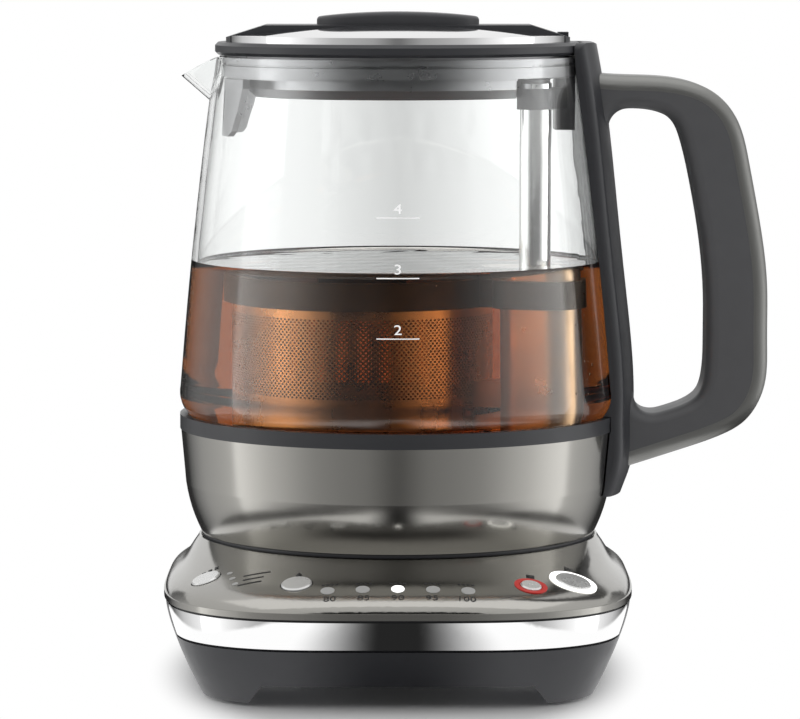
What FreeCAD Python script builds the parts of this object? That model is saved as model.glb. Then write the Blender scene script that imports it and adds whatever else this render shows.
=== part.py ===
import FreeCAD, Part
import math
import os

from FreeCAD import Vector

# Automatic tea maker: a 1 litre glass jug with a self-lifting tea basket, on a power base.
# Millimetres. +Z is up, the panel faces -Y, the handle points to +X and the spout to -X.
# The origin is on the standing plane, under the axis of the jug.

# Power base
baseHalfWidth = 76.2
baseFront = 99.0        # reach of the panel in front of the jug axis
baseBack = 74.0
baseSquareness = 3.4    # exponent of the rounded square outline, 2 is an ellipse
baseWall = 2.4
lipTop = 31.6           # widest edge of the top shell
lipHeight = 2.0
lipStep = 0.5
splitGap = 0.3          # between the top shell and the lower body
shoulderFall = 13.0     # from the seat rim down to the lip
sideSwell = (0, 0.15, 0.30, 0.48, 0.76, 0.95, 1)    # how far each level of the shoulder has opened
panelSwell = 2.0        # exponent of the flatter opening in front
legHeight = 7.2         # arch under the lower body
legReach = 48.4         # inner side of the legs, from the middle of the base
legSpan = 42.0          # their inner ends, in front of and behind the middle
legLean = 5.6
bowlSideTuck = 12.8     # how far the lower body pulls in at its foot
bowlFrontTuck = 14.0
bowlUpright = 28.0      # height where its wall stands upright
bowlCurve = 1.33
footSquareness = 5.5
footRadius = 4.8
footHeight = 2.2
footProud = 0.9
footEdge = 0.5
footInset = (1.6, 6.0)  # from the legs to the pads, sideways and lengthways
fasciaThick = 1.2
fasciaHeight = 9.0
fasciaGap = 0.8         # shadow line over the bright band and at its ends
fasciaEnd = -56.0       # Y where the bright band stops on each side
fasciaLean = 6.0
baseBossRadius = 4.2
baseScrewRadius = 1.5
baseScrewHead = 2.9
boardThick = 1.6
boardBossRadius = 3.0
boardHalf = 40.0
boardBossSide = 34.0
powerBoardFoot = 12.0
powerBoardFront = 24.5
controlBoardHalf = 54.0
controlBoardFront = 85.0
controlBoardBack = 38.0

# Seat and connector
seatRadius = 65.4
seatDepth = 6.1
seatSlope = 3.6
seatFit = 1.2           # around the foot of the jug
rimWidth = 0.6          # flat top of the rim around the seat
plugRadius = 10.5
plugRise = 7.5
plugFit = 0.5
connectorWall = 3.2
plugEdge = 1.2
plugDepth = 8.0         # below the floor of the seat
plugFlange = 5.0
contactGrooves = (3.6, 7.0)
grooveWidth = 1.1
grooveDepth = 4.0

# Control panel
capSeat = 0.3           # from the shell down to the flange of a button
capFlange = 0.8
capProud = 0.6
capEdge = 0.42
capFit = 0.3
ringWidth = 1.6
lensProud = 0.12
lensRadius = 2.2
lensPitch = 11.0
lensCount = 5
lensRow = -90.0
smallLensRadius = 1.0
smallLensPitch = 5.2
smallLensSlant = 1.05
smallLensCount = 3
smallLensSpot = (-52.4, -71.0)
selectSpot = (-61.1, -64.2)
selectRadius = 4.8
heatSpot = (-31.8, -83.9)
heatRadius = 4.9
cancelSpot = (41.8, -82.2)
cancelRadius = 3.4
startSpot = (55.5, -71.8)
startRadius = 5.9

# Cord outlet
cordBore = 3.6
glandRadius = 6.4
glandBody = 11.6
glandNose = 2.0
glandHeight = 18.0

# Jug, from its foot up
housingHeight = 41.5
coverHeight = 7.2       # where the steel ends and the plastic foot starts
collarHeight = 4.8
collarProud = 0.2
glassWall = 2.2
glassHeight = 125.6
glassLap = 3.2          # foot of the glass below the foot of the collar
glassWide = 72.0        # radius at the widest height
glassShoulder = 17.2    # that height, over the foot of the glass
glassTuck = 2.4         # step of the foot into the collar
glassBelly = (3.7, 58.3)     # how far in and how far up the middle of the curve lies
neckRadius = 61.0
neckDrop = 5.9
mouthTurn = 0.5
spoutReach = 71.3
spoutDrop = 6.4
spoutFlare = 1.15       # how fast the lip leans out, per millimetre of height
spoutRoot = -48.0
spoutLow = 18.4
spoutSide = 15.0
spoutSlim = 7.0
floorThick = 1.2
floorRim = 6.0
floorDrop = 1.6         # from the foot of the glass down to the floor
housingWall = 0.9
housingKnee = (1.7, 23.5)
housingBelly = (1.95, 12.3)
coverWall = 1.8
coverGap = 0.3
coverScrewRing = 44.0
coverScrewAngles = (60, 180, 270)
coverScrewRadius = 1.4
coverScrewHead = 2.6
heaterRadius = 32.0
heaterTube = 3.3
heaterTurn = 300
heaterPin = 2.2
sensorSpot = (-20.0, 12.0)
sensorRadius = 2.5

# Handle side
spineHalf = 20.0
spineBow = 5.0
spineRound = 3.5
spineCorner = 2.4
spineRise = 4.7         # over the rim of the glass
spineFoot = 58.6
spineGap = 0.3
gripHalf = 12.0
gripRound = 4.0
gripRoot = 58.0
trimThick = 4.8
screwRadius = 1.6
screwHead = 3.0
screwLength = 11.0
screwInset = (8.4, 14.0)    # down from the upper root of the grip, up from the lower one

# Lift post and drive
postX = 44.4
postY = -19.0
postRadius = 5.1
postWall = 0.6
postDrop = 10.1         # below the rim of the glass
postTip = 2.7
postTipEdge = 1.1
postStub = 6.0          # below the floor of the jug
postHead = 0.6          # room for the bracket in the lid
bracketHeight = 6.8
bracketWall = 0.9
blockInner = 51.5
blockOuter = 58.0
blockHalf = 8.0
blockDrop = 24.0
notchHalf = 7.0
notchDepth = 6.0
screwSize = 1.6
motorRadius = 8.6
shaftRadius = 1.25
strapThick = 1.2
motorHeight = 17.5
gearboxHeight = 7.0
motorDrop = 9.0         # from the foot of the post down to the motor
carriageHeight = 16.0
carriageRise = 18.0
runFit = 0.08
slideFit = 0.3

# Tea basket
basketX = -9.0
basketRadius = 32.5
basketWall = 0.6
basketRise = 9.3        # above the floor of the jug
basketHeight = 37.5
basketRound = 4.0
ringHeight = 9.0
ringLap = 1.5
ringWall = 2.2
ringSeat = 2.6
sliderRadius = 8.6
sliderReach = 9.0
sliderHeight = 47.5
magnetRadius = 4.0
armHalf = 5.0
lidFit = 0.4
basketLidThick = 2.0
fingerHalf = 11.0

# Jug lid
lidGap = 0.7            # over the rim of the glass
lidRimHeight = 4.1
lidRimEdge = 1.0
lidOverhang = 0.8
plateRadius = 56.4
plateEdge = 2.2
plateRise = 3.6
plateThick = 1.0
bandHalf = 15.0
bandRise = 5.6          # over the dark rim
bandEnd = 56.6
bandFlat = 43.6
bandDrop = 4.1
knobLength = 53.4
knobWidth = 22.0
knobHeight = 4.2
knobRound = 1.3
knobCrown = 230.0
skirtRise = 7.7         # height of the wide part with the seals
skirtCore = 50.1
skirtCorner = 3.0
coreHeight = 6.1
skirtWall = 2.0
sealFit = 0.4
sealProud = 1.5
sealBands = ((0.6, 4.2), (5.0, 7.1))     # from the step of the skirt up
guardThick = 1.8
guardDrop = 18.7
guardLean = 3.0
guardTopAngle = 30.3
guardFootAngle = 19.0
guardSlots = 5

# Places that follow from them
up = Vector(0, 0, 1)
baseMiddle = (baseBack - baseFront) / 2
rimHeight = lipTop + shoulderFall
seatFloor = rimHeight - seatDepth
footWide = seatRadius - seatSlope - seatFit
coverTop = seatFloor + coverHeight
collarFoot = seatFloor + housingHeight
collarTop = collarFoot + collarHeight
collarWide = glassWide + collarProud
glassFoot = collarFoot - glassLap
jugFloorTop = glassFoot - floorDrop
glassTop = glassFoot + glassHeight
spineTop = glassTop + spineRise
postTop = glassTop - postDrop
bracketFoot = postTop - bracketHeight
carriageRadius = postRadius - postWall - slideFit
postFoot = jugFloorTop - floorThick - postStub
motorTop = postFoot - motorDrop
blockFoot = glassTop - blockDrop
basketFoot = jugFloorTop + basketRise
carriageFoot = basketFoot + carriageRise
basketTop = basketFoot + basketHeight
ringFoot = basketTop - ringLap
ringTop = ringFoot + ringHeight
sliderTop = basketFoot + sliderHeight
lidRadius = neckRadius - lidOverhang
lidRimFoot = glassTop + lidGap
lidRimTop = lidRimFoot + lidRimHeight
bandTop = lidRimTop + bandRise
knobTop = bandTop + knobHeight
sealReach = neckRadius - mouthTurn - glassWall - sealFit
skirtRadius = sealReach - sealProud
skirtStep = lidRimFoot - skirtRise
skirtFoot = skirtStep - coreHeight
guardRadius = sealReach - 0.9
guardFoot = skirtStep - guardDrop

# Side view of the handle: reach beyond the widest glass and height, from the top root
# round to the lower one
gripTop = spineTop - 10.2
gripFoot = spineFoot + 5.8
gripOuter = ((-6.0, gripTop), (7.7, gripTop - 0.7), (22.5, gripTop - 2.3), (31.8, gripTop - 6.3),
             (38.8, gripTop - 14.2), (43.2, gripTop - 28.7), (46.9, gripTop - 48.5),
             (49.4, gripTop - 68.4), (49.6, gripFoot + 44.2), (49.0, gripFoot + 30.9),
             (46.7, gripFoot + 24.2), (41.8, gripFoot + 17.7), (35.0, gripFoot + 13.7),
             (22.6, gripFoot + 9.2), (5.5, gripFoot + 3.7), (-6.0, gripFoot))
gripInner = ((3.5, gripFoot + 35.0), (5.6, gripFoot + 26.5), (7.7, gripFoot + 22.3),
             (11.6, gripFoot + 20.9), (16.4, gripFoot + 21.8), (22.2, gripFoot + 23.9),
             (26.8, gripFoot + 27.2), (28.8, gripFoot + 33.0), (29.4, gripFoot + 46.0),
             (29.4, gripTop - 75.0), (27.8, gripTop - 55.1), (24.4, gripTop - 35.3),
             (21.2, gripTop - 21.9), (18.0, gripTop - 15.4), (12.6, gripTop - 12.4),
             (5.6, gripTop - 11.4), (0.8, gripTop - 12.0), (-2.1, gripTop - 14.6),
             (-3.2, gripTop - 19.5), (-3.4, gripTop - 27.0))
spineBack = ((spineFoot, glassWide + 1.9), (spineFoot + 4.4, glassWide + 3.6),
             (spineFoot + 10.0, glassWide + 5.3), (spineFoot + 18.0, glassWide + 6.0),
             (spineFoot + 30.0, glassWide + 6.1), (spineFoot + 57.0, glassWide + 4.5),
             (spineTop - 39.0, neckRadius + 9.9), (spineTop - 17.0, neckRadius + 7.2),
             (spineTop, neckRadius + 4.2))


# Plain shapes


def cylinder(radius, low, high, x=0.0, y=0.0):
    return Part.makeCylinder(radius, high - low, Vector(x, y, low), up)


def tube(outer, inner, low, high, x=0.0, y=0.0):
    return cylinder(outer, low, high, x, y).cut(cylinder(inner, low, high, x, y))


def block(x0, x1, y0, y1, z0, z1):
    return Part.makeBox(x1 - x0, y1 - y0, z1 - z0, Vector(x0, y0, z0))


def spun(edges):
    """A solid of revolution about Z from a closed chain of edges in the XZ plane."""
    face = Part.Face(Part.Wire(edges))
    return face.revolve(Vector(0, 0, 0), up, 360)


def profile(*points):
    """Straight edges through points given as (radius, height), closed at the end."""
    spots = [Vector(r, 0, z) for r, z in points]
    return [Part.makeLine(a, b) for a, b in zip(spots, spots[1:] + spots[:1])]


def arcThrough(a, b, c):
    return Part.Arc(Vector(a[0], 0, a[1]), Vector(b[0], 0, b[1]), Vector(c[0], 0, c[1])).toShape()


def fused(shapes):
    whole = shapes[0]
    for shape in shapes[1:]:
        whole = whole.fuse(shape)
    return whole.removeSplitter()


def without(shape, tools):
    for tool in tools:
        shape = shape.cut(tool)
    return shape


def save(name, shape):
    solids = shape.Solids
    kept = solids[0] if len(solids) == 1 else Part.makeCompound(solids)
    kept.exportStep("parts/" + name + ".step")
    print(name, len(solids), "solids", round(kept.Volume), "mm3")


# Power base


def outline(halfWidth, front, back, squareness, z):
    """A closed rounded-square curve around the jug axis, deeper in front than behind."""
    middle = (back - front) / 2
    halfDepth = (back + front) / 2
    count = 24
    points = []
    for step in range(count):
        turn = 2 * math.pi * step / count
        reach = abs(math.cos(turn) / halfWidth) ** squareness
        reach += abs(math.sin(turn) / halfDepth) ** squareness
        reach = reach ** (-1 / squareness)
        points.append(Vector(reach * math.cos(turn), middle + reach * math.sin(turn), z))
    curve = Part.BSplineCurve()
    curve.interpolate(points, PeriodicFlag=True)
    return Part.Wire(curve.toShape())


def shoulder(inset, low):
    """The sloping top of the base: a circle at the seat that opens into the square outline."""
    start = seatRadius + rimWidth
    rings = []
    for level, side in enumerate(sideSwell):
        t = level / (len(sideSwell) - 1)
        ahead = 1 - (1 - t) ** panelSwell
        rings.append(outline(
            start + (baseHalfWidth - lipStep - start) * side - inset,
            start + (baseFront - lipStep - start) * ahead - inset,
            start + (baseBack - lipStep - start) * side - inset,
            2 + (baseSquareness - 2) * t,
            rimHeight - (rimHeight - low) * t - inset * (1 - t)))
    return Part.makeLoft(rings, True, False)


def lipBand(inset, low, high):
    ring = outline(baseHalfWidth - inset, baseFront - inset, baseBack - inset, baseSquareness, low)
    return Part.Face(ring).extrude(Vector(0, 0, high - low))


def seatDish():
    """The round recess that the jug stands in."""
    return spun(profile((0, rimHeight + 1), (seatRadius, rimHeight + 1), (seatRadius, rimHeight),
                        (seatRadius - seatSlope, seatFloor), (0, seatFloor)))


def panelSpot(skin, x, y):
    """The point of the sloping top over (x, y) and the direction square to the surface there."""
    def height(px, py):
        line = Part.makeLine(Vector(px, py, 0), Vector(px, py, rimHeight + 20))
        return skin.common(line).BoundBox.ZMax
    slopeX = (height(x + 1, y) - height(x - 1, y)) / 2
    slopeY = (height(x, y + 1) - height(x, y - 1)) / 2
    normal = Vector(-slopeX, -slopeY, 1).normalize()
    return Vector(x, y, height(x, y)), normal


def pin(spot, normal, radius, low, high):
    """A short round pin square to the panel, from low to high measured from its surface."""
    return Part.makeCylinder(radius, high - low, spot + normal * low, normal)


def panelParts(skin):
    """Button caps, light rings and lenses, and the holes that the top shell needs for them."""
    caps = {}
    holes = []
    rings = {}
    depth = baseWall + capSeat
    room = lipBand(baseWall + lipStep + capFit, 0, rimHeight)
    for name, place, radius, ring in (
            ("strength_button", selectSpot, selectRadius, 0),
            ("temperature_button", heatSpot, heatRadius, 0),
            ("cancel_button", cancelSpot, cancelRadius, ringWidth),
            ("start_button", startSpot, startRadius, ringWidth)):
        spot, normal = panelSpot(skin, *place)
        cap = pin(spot, normal, radius, -depth, capProud)
        face = max((f for f in cap.Faces), key=lambda f: f.CenterOfMass.dot(normal))
        cap = cap.makeChamfer(capEdge, face.Edges)
        collar = pin(spot, normal, radius + capFlange, -depth - capFlange, -depth).common(room)
        caps[name] = cap.fuse(collar).removeSplitter()
        hole = radius + capFit
        if ring:
            rings[name] = pin(spot, normal, hole + ring, -baseWall, lensProud).cut(
                pin(spot, normal, hole, -baseWall - 1, 1))
            hole += ring
        holes.append(pin(spot, normal, hole, -baseWall - 4, 4))
        print(name, "centre", [round(v, 3) for v in spot], "axis", [round(-v, 5) for v in normal])
    lenses = []
    for index in range(lensCount):
        spot, normal = panelSpot(skin, (index - (lensCount - 1) / 2) * lensPitch, lensRow)
        lenses.append(pin(spot, normal, lensRadius, -baseWall, lensProud))
        holes.append(pin(spot, normal, lensRadius, -baseWall - 4, 4))
    small = []
    for index in range(smallLensCount):
        along = index - (smallLensCount - 1) / 2
        x, y = smallLensSpot[0] - along * smallLensSlant, smallLensSpot[1] + along * smallLensPitch
        spot, normal = panelSpot(skin, x, y)
        small.append(pin(spot, normal, smallLensRadius, -baseWall, lensProud))
        holes.append(pin(spot, normal, smallLensRadius, -baseWall - 4, 4))
    return caps, rings, lenses, small, holes


def topShell(skin, holes):
    rim = lipBand(0, lipTop - lipHeight, lipTop)
    solid = skin.fuse(rim)
    hollow = shoulder(baseWall, lipTop)
    hollow = hollow.fuse(lipBand(baseWall, lipTop - lipHeight - 1, lipTop))
    floor = cylinder(seatRadius + baseWall, seatFloor - baseWall, rimHeight + 5)
    hollow = hollow.cut(floor)
    opening = cylinder(plugRadius + plugFit, seatFloor - 10, rimHeight)
    return without(solid, [hollow, seatDish(), opening] + holes)


def bowl(inset, low, high):
    """The lower body of the base, tucked in towards its foot."""
    rings = []
    levels = 6
    for level in range(levels):
        z = low + (high - low) * level / (levels - 1)
        tucked = max(0.0, 1 - z / bowlUpright) ** bowlCurve
        side = bowlSideTuck * tucked + lipStep + inset
        ahead = bowlFrontTuck * tucked + lipStep + inset
        rings.append(outline(baseHalfWidth - side, baseFront - ahead, baseBack - ahead,
                             baseSquareness + (footSquareness - baseSquareness) * tucked, z))
    return Part.makeLoft(rings, True, False)


def fasciaZone(grow):
    high = lipTop - lipHeight - fasciaGap
    low = high - fasciaHeight
    reach = baseFront + baseBack
    corners = [(-reach, low - grow), (fasciaEnd - fasciaLean + grow, low - grow),
               (fasciaEnd + grow, high + grow), (-reach, high + grow)]
    spots = [Vector(-reach, y, z) for y, z in corners]
    face = Part.Face(Part.makePolygon(spots + spots[:1]))
    return face.extrude(Vector(2 * reach, 0, 0))


def bossSpots():
    """Where the screws go up through the arches, just inside the legs."""
    side = legReach - legLean - baseBossRadius - 2
    reach = legSpan - legLean - baseBossRadius - 2
    return [(sx * side, baseMiddle + sy * reach) for sx in (-1, 1) for sy in (-1, 1)]


def footSpots():
    side = legReach + footRadius + footInset[0]
    reach = legSpan + footRadius + footInset[1]
    return [(sx * side, baseMiddle + sy * reach) for sx in (-1, 1) for sy in (-1, 1)]


def powerBossSpots():
    rows = (powerBoardFront + boardBossRadius + 0.5, baseBack - 20)
    return [(sx * boardBossSide, y) for sx in (-1, 1) for y in rows]


def arch(half, rise):
    """A channel under the base along Y, with sides that lean in towards its roof."""
    corners = [(-half, -1), (-half + legLean, rise), (half - legLean, rise), (half, -1)]
    reach = 2 * baseFront
    spots = [Vector(x, -reach, z) for x, z in corners]
    return Part.Face(Part.makePolygon(spots + spots[:1])).extrude(Vector(0, 2 * reach, 0))


def lowerBody():
    top = lipTop - lipHeight - splitGap
    solid = bowl(0, footProud, top)
    inner = bowl(baseWall, legHeight + baseWall, top + 1)
    across = arch(legReach, legHeight)
    along = arch(legSpan, legHeight).rotated(Vector(0, 0, 0), up, 90)
    along = along.translated(Vector(0, baseMiddle, 0))
    recess = bowl(-5, 0, top + 5).cut(bowl(fasciaThick + 0.05, 0, top + 5)).common(fasciaZone(fasciaGap))
    body = without(solid, [inner, across, along, recess])
    bosses = [cylinder(baseBossRadius, legHeight, top - 2, x, y) for x, y in bossSpots()]
    bosses += [cylinder(boardBossRadius, legHeight, powerBoardFoot, x, y) for x, y in powerBossSpots()]
    body = fused([body] + bosses)
    holes = [cylinder(baseScrewRadius + 0.2, 0, top, x, y) for x, y in bossSpots()]
    holes += [cylinder(baseScrewHead + 0.6, 0, legHeight + 4, x, y) for x, y in bossSpots()]
    holes += [cylinder(footRadius + 0.1, 0, footHeight, x, y) for x, y in footSpots()]
    holes.append(Part.makeCylinder(glandRadius + 0.05, 40, Vector(0, baseBack - 20, glandHeight),
                                   Vector(0, 1, 0)))
    return without(body, holes)


def fascia():
    top = lipTop - lipHeight
    strip = bowl(0, 0, top + 5).cut(bowl(fasciaThick, 0, top + 5))
    return strip.common(fasciaZone(0))


def rubberFeet():
    pads = []
    for x, y in footSpots():
        pad = cylinder(footRadius, 0, footHeight, x, y)
        rim = [e for e in pad.Edges if abs(e.BoundBox.ZMax) < 0.01]
        pads.append(pad.makeChamfer(footEdge, rim))
    return Part.makeCompound(pads)


def baseScrews():
    screws = []
    for x, y in bossSpots():
        head = cylinder(baseScrewHead, legHeight + 2, legHeight + 4, x, y)
        shank = cylinder(baseScrewRadius, legHeight + 4, lipTop - 5, x, y)
        screws.append(head.fuse(shank).removeSplitter())
    return Part.makeCompound(screws)


def cordGland():
    """The ribbed bush at the back that the mains lead comes through."""
    along = Vector(0, 1, 0)
    end = Vector(0, baseBack + 0.6, glandHeight)
    start = end - along * glandBody
    body = Part.makeCylinder(glandRadius, glandBody, start, along)
    nose = Part.makeCone(glandRadius - 0.8, cordBore + 1.2, glandNose, end, along)
    whole = body.fuse(nose)
    flange = Part.makeCylinder(glandRadius + 1.6, 1.6, start - along * 1.6, along)
    bore = Part.makeCylinder(cordBore, 60, start - along * 10, along)
    return whole.fuse(flange).cut(bore).removeSplitter()


def baseConnector():
    """The round male plug in the middle of the seat, with its concentric contacts."""
    low = seatFloor - plugDepth
    top = seatFloor + plugRise
    body = cylinder(plugRadius, low, top - plugEdge)
    body = body.fuse(Part.makeCone(plugRadius, plugRadius - plugEdge, plugEdge,
                                   Vector(0, 0, top - plugEdge), up))
    foot = cylinder(plugRadius + plugFlange, low, seatFloor - baseWall)
    grooves = [tube(r + grooveWidth, r, top - grooveDepth, top + 1) for r in contactGrooves]
    return without(body.fuse(foot), grooves + [cylinder(screwSize, seatFloor, top + 1)]).removeSplitter()


def controlBoard():
    top = lipTop - 4.9
    board = block(-controlBoardHalf, controlBoardHalf, -controlBoardFront, -controlBoardBack,
                  top - boardThick, top)
    return without(board, [cylinder(baseBossRadius + 0.6, 0, top + 1, x, y) for x, y in bossSpots()])


def powerBoard():
    """The mains board on its standoffs, with a relay and a choke."""
    top = powerBoardFoot + boardThick
    board = block(-boardHalf, boardHalf, powerBoardFront, baseBack - 14, powerBoardFoot, top)
    middle = (powerBoardFront + baseBack - 14) / 2
    relay = block(-30, -12, middle - 8, middle + 8, top, top + 11)
    choke = cylinder(7, top, top + 10, 22, middle)
    return fused([board, relay, choke])


# Jug


def glassSkin(inset):
    """The jug wall seen from outside, pulled in by inset, as a solid plug."""
    past = 1 if inset else 0
    low = (glassWide - inset, glassFoot + glassShoulder)
    foot = glassWide - glassTuck - inset
    middle = (glassWide - glassBelly[0] - inset, glassFoot + glassBelly[1])
    neck = (neckRadius - inset, glassTop - neckDrop)
    lip = (neck[0] - mouthTurn, glassTop + past)
    bend = (foot + glassTuck * 0.78, collarTop + 3.2)
    shelf = (foot, collarTop + 0.2)
    bottom = glassFoot - past
    straight = [neck, lip, (0, lip[1]), (0, bottom), (foot, bottom), shelf]
    spots = [Vector(r, 0, z) for r, z in straight]
    edges = [arcThrough(low, middle, neck), arcThrough(shelf, bend, low)]
    edges += [Part.makeLine(a, b) for a, b in zip(spots, spots[1:])]
    return spun(Part.__sortEdges__(edges))


def spoutCone(inset):
    """The pouring lip, an oval cone that leans out of the wall towards -X."""
    rings = []
    for z, half in ((glassTop - spoutLow, spoutSlim), (glassTop + 5, spoutSide)):
        tip = spoutReach + spoutFlare * (z - glassTop + spoutDrop)
        oval = Part.Ellipse(Vector(spoutRoot, 0, z), tip + spoutRoot - inset * 1.5, half - inset)
        rings.append(Part.Wire(oval.toShape()))
    return Part.makeLoft(rings, True, True)


def rimDip():
    """What is taken off over the pouring lip, so that the rim droops towards its tip."""
    start = (2.0 - neckRadius, glassTop)
    tip = (-spoutReach, glassTop - spoutDrop)
    middle = ((start[0] + tip[0]) / 2, (start[1] + tip[1]) / 2 + 0.4)
    corners = [tip, (tip[0] - 20, tip[1] - 2), (tip[0] - 20, glassTop + 20), (start[0], glassTop + 20), start]
    spots = [Vector(x, 0, z) for x, z in corners]
    edges = [arcThrough(start, middle, tip)]
    edges += [Part.makeLine(a, b) for a, b in zip(spots, spots[1:])]
    face = Part.Face(Part.Wire(edges)).translated(Vector(0, -glassWide, 0))
    return face.extrude(Vector(0, 2 * glassWide, 0))


def glassJug():
    outer = glassSkin(0).fuse(spoutCone(0))
    inner = glassSkin(glassWall).fuse(spoutCone(glassWall))
    reach = 2 * glassWide
    trim = block(-reach, reach, -reach, reach, glassTop, glassTop + reach)
    notch = block(neckRadius - 12, neckRadius + 6, -notchHalf, notchHalf,
                  glassTop - notchDepth, glassTop + 5)
    return without(outer, [inner, rimDip(), trim, notch])


def collarRing():
    inside = glassWide - glassTuck + 0.15
    band = tube(collarWide, inside, collarFoot, collarTop)
    skirt = tube(glassWide - housingWall - 0.5, inside, collarFoot - 1.8, collarFoot)
    return band.fuse(skirt).removeSplitter()


def glassSeal():
    outside = glassWide - glassTuck
    return tube(outside, outside - glassWall - floorDrop, jugFloorTop, glassFoot)


def jugFloor():
    """The steel floor that carries the heater, with a turned-down rim and the post's seat."""
    outside = glassWide - glassTuck - 0.1
    under = jugFloorTop - floorThick
    plate = cylinder(outside, under, jugFloorTop)
    rim = tube(outside, outside - floorThick, jugFloorTop - floorRim, under)
    hole = cylinder(postRadius + 0.05, under - 1, jugFloorTop + 1, postX, postY)
    probe = cylinder(sensorRadius + 0.1, under - 1, jugFloorTop + 1, *sensorSpot)
    return without(plate.fuse(rim), [hole, probe]).removeSplitter()


def heater():
    """A cast ring element brazed under the floor, open where its two ends come down."""
    top = jugFloorTop - floorThick
    flat = heaterTube * 0.5
    points = [(heaterRadius + x * side, top - heaterTube + z)
              for x, z, side in ((flat, heaterTube, -1), (flat, heaterTube, 1), (heaterTube, flat, 1),
                                 (heaterTube, -flat, 1), (flat, -heaterTube, 1), (flat, -heaterTube, -1),
                                 (heaterTube, -flat, -1), (heaterTube, flat, -1))]
    section = Part.Face(Part.Wire(profile(*points)))
    ring = section.revolve(Vector(0, 0, 0), up, heaterTurn)
    ends = []
    for angle in (4, heaterTurn - 4):
        x = heaterRadius * math.cos(math.radians(angle))
        y = heaterRadius * math.sin(math.radians(angle))
        ends.append(cylinder(heaterPin, top - 4 * heaterTube, top - heaterTube, x, y))
    whole = fused([ring] + ends)
    return whole.rotated(Vector(0, 0, 0), up, 125)


def temperatureSensor():
    tip = jugFloorTop + 3
    probe = cylinder(sensorRadius, jugFloorTop - 9, tip, *sensorSpot)
    edge = [e for e in probe.Edges if e.BoundBox.ZMin > tip - 0.1]
    probe = probe.makeChamfer(sensorRadius * 0.4, edge)
    flange = cylinder(sensorRadius + 1.7, jugFloorTop - 5, jugFloorTop - floorThick, *sensorSpot)
    return probe.fuse(flange).removeSplitter()


def housingSkin(inset):
    """The round lower part of the jug, pulled in by inset, as a solid plug."""
    wide = glassWide - 0.1
    top = collarFoot + (1 if inset > 0 else 0)
    knee = (glassWide - housingKnee[0] - inset, seatFloor + housingKnee[1])
    middle = (footWide + glassWide - housingKnee[0]) / 2
    belly = (middle + housingBelly[0] - inset, seatFloor + housingBelly[1])
    foot = (footWide - inset, seatFloor + inset)
    corners = [Vector(0, 0, foot[1]), Vector(foot[0], 0, foot[1])]
    edges = [Part.makeLine(*corners), arcThrough(foot, belly, knee)]
    corners = [Vector(knee[0], 0, knee[1]), Vector(wide - inset, 0, top), Vector(0, 0, top), corners[0]]
    edges += [Part.makeLine(a, b) for a, b in zip(corners, corners[1:])]
    return spun(edges)


def steelHousing():
    shell = housingSkin(0).cut(housingSkin(housingWall))
    reach = 2 * glassWide
    return shell.common(block(-reach, reach, -reach, reach, coverTop, collarFoot))


def jugCover():
    """The plastic foot of the jug, with the hole for the plug and bosses for its screws."""
    reach = 2 * glassWide
    below = block(-reach, reach, -reach, reach, 0, coverTop - coverGap)
    cup = housingSkin(coverGap).cut(housingSkin(coverWall + coverGap)).common(below)
    seam = housingSkin(0).common(cylinder(reach, coverTop - 0.02, coverTop)).BoundBox.XMax
    inside = seam - housingWall - coverGap
    rise = tube(inside, inside - coverWall, coverTop - 2, coverTop + 2)
    link = tube(seam - coverGap - 0.2, inside - coverWall, coverTop - 2, coverTop - coverGap)
    bosses = [cylinder(coverScrewHead + 0.8, seatFloor + 1, coverTop, x, y) for x, y in coverSpots()]
    holes = [cylinder(coverScrewRadius + 0.1, 0, coverTop + 1, x, y) for x, y in coverSpots()]
    holes += [cylinder(coverScrewHead + 0.3, 0, seatFloor + 2.4, x, y) for x, y in coverSpots()]
    holes.append(cylinder(plugRadius + plugFit + connectorWall + 0.3, 0, coverTop))
    return without(fused([cup, rise, link] + bosses), holes)


def coverSpots():
    return [(coverScrewRing * math.cos(math.radians(a)), coverScrewRing * math.sin(math.radians(a)))
            for a in coverScrewAngles]


def coverScrews():
    low = seatFloor + 0.6
    screws = []
    for x, y in coverSpots():
        head = cylinder(coverScrewHead, low, low + 1.7, x, y)
        shank = cylinder(coverScrewRadius, low + 1.7, coverTop + 4, x, y)
        screws.append(head.fuse(shank).removeSplitter())
    return Part.makeCompound(screws)


def jugConnector():
    """The round socket under the jug. It takes the plug of the base at any angle."""
    inside = plugRadius + plugFit
    top = seatFloor + plugRise
    outer = cylinder(inside + connectorWall, seatFloor + 0.8, top + 6)
    flange = cylinder(inside + connectorWall + 4.3, seatFloor + 3.2, seatFloor + 5.2)
    hollow = cylinder(inside, seatFloor, top + 0.8)
    prong = cylinder(1.0, seatFloor + 3.0, top + 2)
    return fused([outer.fuse(flange).cut(hollow), prong])


# Handle side


def spineReach(z):
    """How far the back of the spine stands from the jug axis at height z."""
    for (low, a), (high, b) in zip(spineBack, spineBack[1:]):
        if z <= high:
            break
    return a + (b - a) * (z - low) / (high - low)


def spineRing(z):
    reach = spineReach(z)
    inner = gripRoot - spineHalf
    side = reach - spineBow
    bow = Part.Arc(Vector(side, -spineHalf, z), Vector(reach, 0, z), Vector(side, spineHalf, z))
    return Part.Wire([bow.toShape(),
                      Part.makeLine(Vector(side, spineHalf, z), Vector(inner, spineHalf, z)),
                      Part.makeLine(Vector(inner, spineHalf, z), Vector(inner, -spineHalf, z)),
                      Part.makeLine(Vector(inner, -spineHalf, z), Vector(side, -spineHalf, z))])


def grownJug():
    """The outside of the jug with the gap that the spine keeps from it."""
    glass = glassSkin(-spineGap)
    steel = housingSkin(-spineGap)
    collar = cylinder(collarWide + spineGap, collarFoot - 0.2, collarTop + 0.2)
    lidRoom = cylinder(lidRadius + 0.5, glassTop - 6, spineTop + 20)
    return [glass, steel, collar, lidRoom]


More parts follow.
